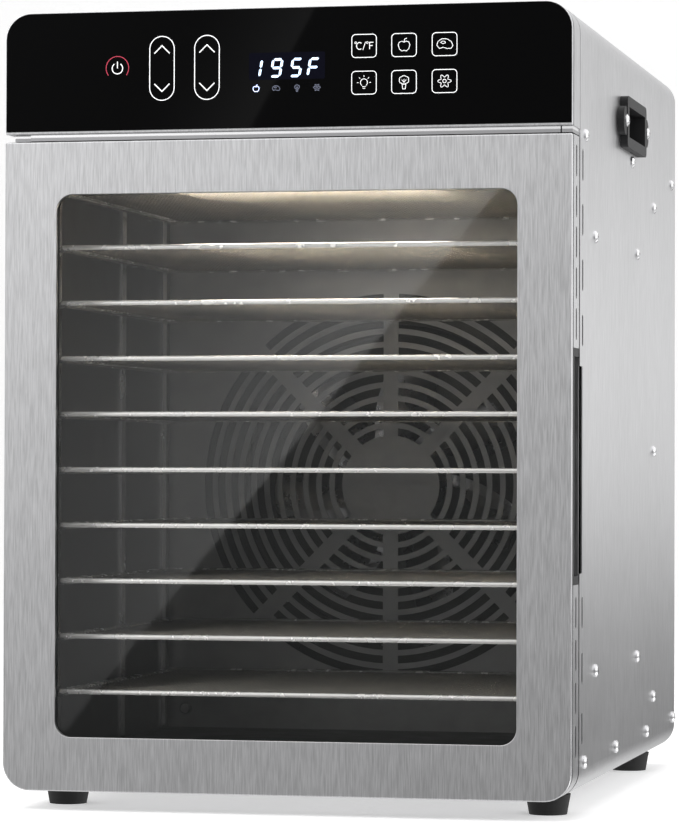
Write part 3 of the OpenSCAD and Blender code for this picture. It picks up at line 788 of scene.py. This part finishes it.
# %% Run a node tree and keep its result as a plain mesh
def grow(name, group, values):
    seed = make_object(name, bpy.data.meshes.new(name))
    maker = seed.modifiers.new("maker", "NODES")
    maker.node_group = group
    for item in group.interface.items_tree:
        if item.item_type == "SOCKET" and item.in_out == "INPUT" and item.name in values:
            maker[item.identifier] = values[item.name]
    depsgraph = bpy.context.evaluated_depsgraph_get()
    mesh = bpy.data.meshes.new_from_object(seed.evaluated_get(depsgraph))
    mesh.name = name
    bpy.data.objects.remove(seed)
    return make_object(name, mesh)


weave = weave_tree()

# %% The folded hem
def swept_band(name, outline, section, finish):
    """Sweeps a section (offset outwards, height) along a closed outline of (x, y, nx, ny)."""
    verts, faces = [], []
    for x, y, nx, ny in outline:
        for off, z in section:
            verts.append((x + nx * off, y + ny * off, z))
    n, m = len(outline), len(section)
    for i in range(n):
        for j in range(m):
            a = i * m + j
            b = i * m + (j + 1) % m
            c = ((i + 1) % n) * m + (j + 1) % m
            d = ((i + 1) % n) * m + j
            faces.append((a, d, c, b))
    return formed(name, verts, faces, finish)


def rounded_outline(x0, x1, y0, y1, radius, steps=6):
    """A rectangle with rounded corners, seen from above, as (x, y) and the way outwards."""
    points = []
    for cx, cy, start in ((x1 - radius, y1 - radius, 0), (x0 + radius, y1 - radius, 90),
                          (x0 + radius, y0 + radius, 180), (x1 - radius, y0 + radius, 270)):
        for k in range(steps + 1):
            a = math.radians(start + 90 * k / steps)
            points.append((cx + radius * math.cos(a), cy + radius * math.sin(a),
                           math.cos(a), math.sin(a)))
    return points


# %% Ten trays
HEM_WIDTH, TRAY_CORNER = 0.0056, 0.005
# offset outwards and height, round the hem and back under the wire
HEM_SECTION = ((-0.0002, -0.0012), (0, -0.0007), (0, 0.0001), (-0.0003, 0.0008),
               (-0.0008, 0.0013), (-0.0015, 0.0015), (-0.0055, 0.0012), (-0.0062, 0.0008),
               (-0.0062, 0.0004), (-0.0016, 0.0006), (-0.0016, -0.0008), (-0.0058, -0.0007),
               (-0.0060, -0.0012), (-0.0006, -0.0015))
WIRE_DROP = 0.0001

for number, (low, high) in enumerate(tray_boxes, 1):
    middle = (low.z + high.z) / 2
    outline = rounded_outline(low.x, high.x, low.y, high.y, TRAY_CORNER)
    rim = swept_band("rim_%02d" % number, outline, [(o, z + middle) for o, z in HEM_SECTION],
                     finishes["tray_steel"])
    inner_x = high.x - low.x - 2 * HEM_WIDTH
    inner_y = high.y - low.y - 2 * HEM_WIDTH
    across = int(inner_x / wire_pitch) + 1
    along = int(inner_y / wire_pitch) + 1
    corner = ((low.x + high.x) / 2 - (across - 1) * wire_pitch / 2,
              (low.y + high.y) / 2 - (along - 1) * wire_pitch / 2, middle - WIRE_DROP)
    mesh_sheet = grow("mesh_%02d" % number, weave, {
        "Pitch": wire_pitch, "Lift": wire_radius * 0.95, "Wire Radius": wire_radius,
        "Wires Across": across, "Wires Along": along, "Corner": corner,
        "Finish": finishes["wire_steel"]})
    tray_body = "tray_%02d" % number
    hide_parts(tray_body)
    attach(rim, tray_body)
    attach(mesh_sheet, tray_body)
print("wires per tray", across + along, "faces per tray", len(mesh_sheet.data.polygons))

# %% [markdown]
# ## Printed symbols and the display
#
# The control glass is printed from behind, so its symbols are perfectly flat and have even strokes.
# They could be text and curve objects, but a stroke drawn in code is easier to keep even. Each
# symbol is a list of polylines in millimetres, and one helper turns every polyline into a flat
# strip just proud of the glass. Lit parts, such as the digits, get a finish that glows. The printed
# inks that are not lit glow faintly as well, and that glow is painted light.

# %% Even strokes on the glass
INK_PROUD, LAYER = 0.00004, 0.00001
ink_y = glass_low.y - INK_PROUD


def stroke_faces(tool, points, width, closed):
    count = len(points)
    left, right_side = [], []
    for k, (x, z) in enumerate(points):
        before = points[k - 1] if (k or closed) else points[k]
        after = points[(k + 1) % count] if (k < count - 1 or closed) else points[k]
        a = Vector((x - before[0], z - before[1]))
        b = Vector((after[0] - x, after[1] - z))
        a = a.normalized() if a.length else b.normalized()
        b = b.normalized() if b.length else a
        way = (a + b).normalized() if (a + b).length > 1e-6 else a
        across = Vector((-way.y, way.x))
        scale = 1 / max(0.45, across.dot(Vector((-a.y, a.x))))
        off = across * (width / 2 * scale)
        left.append(tool.verts.new(((x + off.x) / 1000, ink_y, (z + off.y) / 1000)))
        right_side.append(tool.verts.new(((x - off.x) / 1000, ink_y, (z - off.y) / 1000)))
    for k in range(count if closed else count - 1):
        n = (k + 1) % count
        tool.faces.new((left[k], left[n], right_side[n], right_side[k]))


def print_on_glass(name, finish, strokes=(), patches=()):
    """Strokes are (points, width, closed) and patches are filled outlines, both in millimetres."""
    tool = bmesh.new()
    for points, width, closed in strokes:
        stroke_faces(tool, points, width, closed)
    for points in patches:
        verts = [tool.verts.new((x / 1000, ink_y, z / 1000)) for x, z in points]
        tool.faces.new(verts)
    for face in tool.faces:
        face.normal_update()
        if face.normal.y > 0:
            face.normal_flip()
    mesh = bpy.data.meshes.new(name)
    tool.to_mesh(mesh)
    tool.free()
    mesh.materials.append(finish)
    thing = make_object(name, mesh)
    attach(thing, "cabinet")
    return thing


def arc(cx, cz, radius, start, end, steps=24, squash=1.0):
    turns = [math.radians(start + (end - start) * k / steps) for k in range(steps + 1)]
    return [(cx + radius * math.cos(a), cz + squash * radius * math.sin(a)) for a in turns]


def ring(cx, cz, radius, steps):
    return arc(cx, cz, radius, 0, 360 - 360 / steps, steps - 1)


def drawn(cx, cz, size, shape):
    """A shape given about its own middle, made larger and put at (cx, cz)."""
    return [(cx + size * x, cz + size * z) for x, z in shape]


def frame_line(cx, cz, w, h, radius, steps=6):
    points = []
    for sx, sz, start in ((1, 1, 0), (-1, 1, 90), (-1, -1, 180), (1, -1, 270)):
        points += arc(cx + sx * (w / 2 - radius), cz + sz * (h / 2 - radius), radius,
                      start, start + 90, steps)
    return points


# %% Inks
# the white, red and dim inks are print, not lamps, so their glow is painted light that brightens
# them
white_ink = printed_ink("white_ink", (0.86, 0.86, 0.87), 0.35)
red_ink = printed_ink("red_ink", (0.40, 0.045, 0.075), 0.5)
dim_ink = printed_ink("dim_ink", (0.13, 0.14, 0.19), 0.2)
lit_digits = printed_ink("lit_digits", (0.62, 0.78, 1.0), 1.2)
display_tint = printed_ink("display_tint", (0.0020, 0.0021, 0.0048), 0.6, specular=0.02)

# %% Power key and the two up-and-down keys
base = body_bottom * 1000
POWER_X, POWER_Z = -101.1, base + 426.2
print_on_glass("power_ring", red_ink, [(arc(POWER_X, POWER_Z, 6.9, -38, 218, 40), 0.42, False)])
print_on_glass("power_mark", white_ink, [
    (arc(POWER_X, POWER_Z - 0.2, 3.2, 125, 415, 28), 0.55, False),
    ([(POWER_X, POWER_Z - 0.2), (POWER_X, POWER_Z + 3.9)], 0.55, False)])
PILL_X, PILL_Z, PILL_SIZE, PILL_ROUND = (-73.9, -46.6), base + 425.5, (14.9, 37.6), 7.4
UP_ARROW = ((-4.6, 8.8), (0, 13.3), (4.6, 8.8))
DOWN_ARROW = ((-4.6, -9.1), (0, -13.6), (4.6, -9.1))
pill_lines = []
for cx in PILL_X:
    pill_lines.append((frame_line(cx, PILL_Z, *PILL_SIZE, PILL_ROUND, 10), 0.5, True))
    pill_lines += [(drawn(cx, PILL_Z, 1.0, arrow), 0.65, False) for arrow in (UP_ARROW, DOWN_ARROW)]
print_on_glass("step_keys", white_ink, pill_lines)

# %% Display window and its slanted digits
SEGMENTS = {"1": "bc", "9": "abcdfg", "5": "acdfg", "F": "aefg"}
DIGITS_AT = (("1", -20.4), ("9", -8.2), ("5", 3.6), ("F", 14.0))
DIGIT_Z, DIGIT_W, DIGIT_H, BAR_W, SLANT = base + 419.4, 5.4, 9.8, 1.45, 0.17
BAR_GAP = 0.25


def digit_patches(symbol, x, z, w, h, bar, slant):
    """Seven bars, each a flat hexagon, leaning over by slant."""
    def lean(px, pz):
        return (px + (pz - z) * slant, pz)

    def level(cz):
        t, a, b = bar / 2, x + BAR_GAP, x + w - BAR_GAP
        return [lean(*p) for p in ((a, cz), (a + t, cz + t), (b - t, cz + t), (b, cz),
                                   (b - t, cz - t), (a + t, cz - t))]

    def upright(cx, lo, hi):
        t = bar / 2
        lo, hi = lo + BAR_GAP, hi - BAR_GAP
        return [lean(*p) for p in ((cx, lo), (cx + t, lo + t), (cx + t, hi - t), (cx, hi),
                                   (cx - t, hi - t), (cx - t, lo + t))]

    mid = z + h / 2
    bars = {"a": level(z + h), "g": level(mid), "d": level(z),
            "f": upright(x, mid, z + h), "b": upright(x + w, mid, z + h),
            "e": upright(x, z, mid), "c": upright(x + w, z, mid)}
    return [bars[k] for k in SEGMENTS[symbol]]


ink_y += LAYER
print_on_glass("display_window", display_tint,
               patches=[frame_line(1.6, base + 425.4, 45.5, 15.8, 1.0, 3)])
ink_y -= LAYER
digits = []
for symbol, left in DIGITS_AT:
    digits += digit_patches(symbol, left, DIGIT_Z, DIGIT_W, DIGIT_H, BAR_W, SLANT)
print_on_glass("display_digits", lit_digits, patches=digits)

# %% Six square keys: the outline and a simple drawing in each
columns = (47.6, 71.3, 95.2)
rows = (base + 436.0, base + 414.6)
outlines = [(frame_line(x, z, 14.6, 13.4, 2.2, 5), 0.42, True) for x in columns for z in rows]
print_on_glass("key_outlines", white_ink, outlines)


def apple(cx, cz, s):
    body = drawn(cx, cz, s, (
        (0, 1.6), (1.1, 2.1), (2.5, 1.6), (3.0, 0.2), (2.4, -1.8), (1.1, -2.9), (0, -2.5),
        (-1.1, -2.9), (-2.4, -1.8), (-3.0, 0.2), (-2.5, 1.6), (-1.1, 2.1)))
    leaf = drawn(cx, cz, s, ((0, 1.6), (0.3, 3.2), (1.5, 3.6)))
    return [(body, 0.36, True), (leaf, 0.36, False)]


def steak(cx, cz, s):
    outer = drawn(cx, cz, s, (
        (-4.0, -0.6), (-3.4, 1.4), (-1.4, 2.7), (1.2, 2.6), (3.4, 1.2), (4.3, -0.7), (3.4, -2.2),
        (1.4, -2.3), (-0.8, -1.6), (-2.6, -2.2)))
    bone = drawn(cx, cz, s, ((-2.0, 0.8), (-1.1, 1.5), (0.2, 1.3), (0.5, 0.6), (-0.8, 0.2)))
    return [(outer, 0.36, True), (bone, 0.3, True)]


def lamp(cx, cz, s):
    marks = [(arc(cx, cz + 0.3 * s, 2.0 * s, -55, 235, 18), 0.36, False),
             (drawn(cx, cz, s, ((-1.0, -2.0), (1.0, -2.0))), 0.36, False),
             (drawn(cx, cz, s, ((-0.7, -2.9), (0.7, -2.9))), 0.36, False)]
    for a in (0, 45, 90, 135, 180):
        c, n = math.cos(math.radians(a)), math.sin(math.radians(a))
        ray = ((3.0 * c, 0.3 + 3.0 * n), (4.0 * c, 0.3 + 4.0 * n))
        marks.append((drawn(cx, cz, s, ray), 0.34, False))
    return marks


def sprout(cx, cz, s):
    crown = []
    for a in range(0, 360, 10):
        turn = math.radians(a)
        r = 2.35 + 0.35 * abs(math.sin(3 * turn))
        crown.append((r * math.cos(turn), 1.1 + 0.85 * r * math.sin(turn)))
    stalk = ((-1.0, -1.0), (-0.7, -3.6), (0.7, -3.6), (1.0, -1.0))
    veins = (((0, -1.0), (0, 1.6)), ((0, -0.1), (-1.2, 1.2)), ((0, -0.1), (1.2, 1.2)))
    return ([(drawn(cx, cz, s, crown), 0.36, True), (drawn(cx, cz, s, stalk), 0.36, False)]
            + [(drawn(cx, cz, s, vein), 0.3, False) for vein in veins])


def blossom(cx, cz, s):
    petals = []
    for a in range(0, 360, 8):
        turn = math.radians(a)
        r = 2.7 + 0.75 * math.cos(6 * turn)
        petals.append((r * math.cos(turn), r * math.sin(turn)))
    return [(drawn(cx, cz, s, petals), 0.34, True), (ring(cx, cz, 0.9 * s, 16), 0.34, True)]


def degree_marks(cx, cz, s):
    """Degree signs with the letters of the two scales and a slash between them."""
    slash = ((-0.7, -2.3), (0.9, 2.4))
    stem_and_top = ((3.3, -2.0), (3.3, 2.0), (5.6, 2.0))
    middle_bar = ((3.3, 0.1), (5.1, 0.1))
    return [(ring(cx - 5.0 * s, cz + 1.9 * s, 0.55 * s, 10), 0.3, True),
            (arc(cx - 2.7 * s, cz, 1.75 * s, 50, 310, 14, 1.15), 0.42, False),
            (drawn(cx, cz, s, slash), 0.34, False),
            (ring(cx + 1.9 * s, cz + 1.9 * s, 0.55 * s, 10), 0.3, True),
            (drawn(cx, cz, s, stem_and_top), 0.42, False),
            (drawn(cx, cz, s, middle_bar), 0.42, False)]


drawings = (degree_marks(columns[0], rows[0], 1.0) + apple(columns[1], rows[0] - 0.2, 1.15)
            + steak(columns[2], rows[0], 1.15) + lamp(columns[0], rows[1] - 0.2, 1.05)
            + sprout(columns[1], rows[1] - 0.1, 1.1) + blossom(columns[2], rows[1], 1.15))
print_on_glass("key_drawings", white_ink, drawings)

# %% Four small indicators under the display
small_z = base + 412.4
lit = printed_ink("lit_indicator", (0.55, 0.65, 1.0), 1.4)
print_on_glass("indicator_lit", lit, [(p, w * 1.1, c) for p, w, c in apple(-16.9, small_z, 0.62)])
dims = steak(-4.9, small_z, 0.55) + sprout(7.7, small_z - 0.1, 0.55) + blossom(19.6, small_z, 0.6)
print_on_glass("indicators_dim", dim_ink, dims)

# %% [markdown]
# ## Fan wheel
#
# Through the grille one sees bright bent blades. The CAD wheel has flat blades, which is right for
# its size and mass but looks stiff, so a cambered wheel stands for it. One blade is a small curved
# sheet, and a node tree repeats it around the hub.

# %% One cambered blade
HUB_R, TIP_R, WHEEL_HALF, BLADE_COUNT = 0.0165, 0.0845, 0.0095, 7


def blade_mesh():
    """Less pitch towards the tip, a chord that is widest halfway, and a tip swept to one side."""
    verts, faces = [], []
    rows_out, cols = 9, 7
    for i in range(rows_out):
        out = i / (rows_out - 1)
        r = HUB_R + (TIP_R - HUB_R) * out
        pitch_angle = math.radians(40 - 16 * out)
        chord = 0.030 + 0.010 * math.sin(math.pi * out)
        for j in range(cols):
            t = j / (cols - 1) - 0.5
            u = chord * t
            camber = 0.004 * (1 - 4 * t * t)
            sweep = 0.012 * out ** 2
            x = u * math.cos(pitch_angle) + camber * math.sin(pitch_angle) + sweep
            y = u * math.sin(pitch_angle) - camber * math.cos(pitch_angle)
            z = math.sqrt(max(r * r - x * x, 1e-8))
            verts.append((x, max(-WHEEL_HALF, min(WHEEL_HALF, y)), z))
    for i in range(rows_out - 1):
        for j in range(cols - 1):
            a = i * cols + j
            faces.append((a, a + 1, a + cols + 1, a + cols))
    mesh = bpy.data.meshes.new("fan_blade")
    mesh.from_pydata(verts, [], faces)
    return mesh


blade = make_object("fan_blade", blade_mesh())
thick = blade.modifiers.new("thickness", "SOLIDIFY")
thick.thickness = 0.001
thick.offset = 0

# %% Blades repeated about the axis, with a turned hub
def wheel_tree():
    group, sizes, result = new_tree("fan_wheel_ring", (
        ("Blade", "Object"), ("Blades", "Int"), ("Centre", "Vector"), ("Finish", "Material")))
    links = group.links.new
    info = group.nodes.new("GeometryNodeObjectInfo")
    links(sizes.outputs["Blade"], info.inputs["Object"])
    points = group.nodes.new("GeometryNodeMeshLine")
    points.mode = "OFFSET"
    links(sizes.outputs["Blades"], points.inputs["Count"])
    links(sizes.outputs["Centre"], points.inputs["Start Location"])
    points.inputs["Offset"].default_value = (0, 0, 0)
    index = group.nodes.new("GeometryNodeInputIndex")
    part = math_node(group, "DIVIDE", index.outputs[0], sizes.outputs["Blades"])
    spin = group.nodes.new("ShaderNodeCombineXYZ")
    links(math_node(group, "MULTIPLY", part, math.tau), spin.inputs["Y"])
    placed = group.nodes.new("GeometryNodeInstanceOnPoints")
    links(points.outputs[0], placed.inputs["Points"])
    links(info.outputs["Geometry"], placed.inputs["Instance"])
    links(spin.outputs[0], placed.inputs["Rotation"])
    realized(group, placed.outputs[0], sizes.outputs["Finish"], result)
    return group


def turned(name, profile, centre, finish, steps=48):
    """A shape turned about the Y axis through centre, from (depth, radius) points."""
    verts, faces = [], []
    for y, r in profile:
        for k in range(steps):
            a = math.tau * k / steps
            verts.append((centre.x + r * math.cos(a), centre.y + y, centre.z + r * math.sin(a)))
    for i in range(len(profile) - 1):
        for k in range(steps):
            n = (k + 1) % steps
            faces.append((i * steps + k, i * steps + n, (i + 1) * steps + n, (i + 1) * steps + k))
    faces.append(tuple(range(steps)))
    faces.append(tuple(reversed(range((len(profile) - 1) * steps, len(profile) * steps))))
    return formed(name, verts, faces, finish, sharp=40)


blades = grow("fan_blades", wheel_tree(), {
    "Blade": blade, "Blades": BLADE_COUNT, "Centre": tuple(fan_centre),
    "Finish": finishes["fan_aluminium"]})
bpy.data.objects.remove(blade)
hub = turned("fan_hub", [(-0.008, 0.006), (-0.008, 0.014), (-0.006, HUB_R), (0.006, HUB_R),
                         (0.008, 0.015), (0.008, 0.006)], fan_centre, finishes["fan_aluminium"])
for piece in (blades, hub):
    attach(piece, "fan")
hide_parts("fan_wheel")
print("fan blade faces", len(blades.data.polygons))

# %% [markdown]
# ## Inside light
#
# A small warm lamp sits under the chamber ceiling. Its lens glows, and a low light just under it
# gives the trays their warm shine.

# %% Chamber lamp
lens_low, lens_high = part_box("lamp_lens")
lens_middle = (lens_low + lens_high) / 2
lamp_light = light_panel("chamber_light", (lens_middle.x, lens_middle.y, lens_low.z - 0.002),
                         (lens_middle.x, lens_middle.y + 0.06, lens_low.z - 0.1), 0.16, 0.05, 0.8)
lamp_light.visible_glossy = True
lamp_light.data.color = (1.0, 0.92, 0.80)
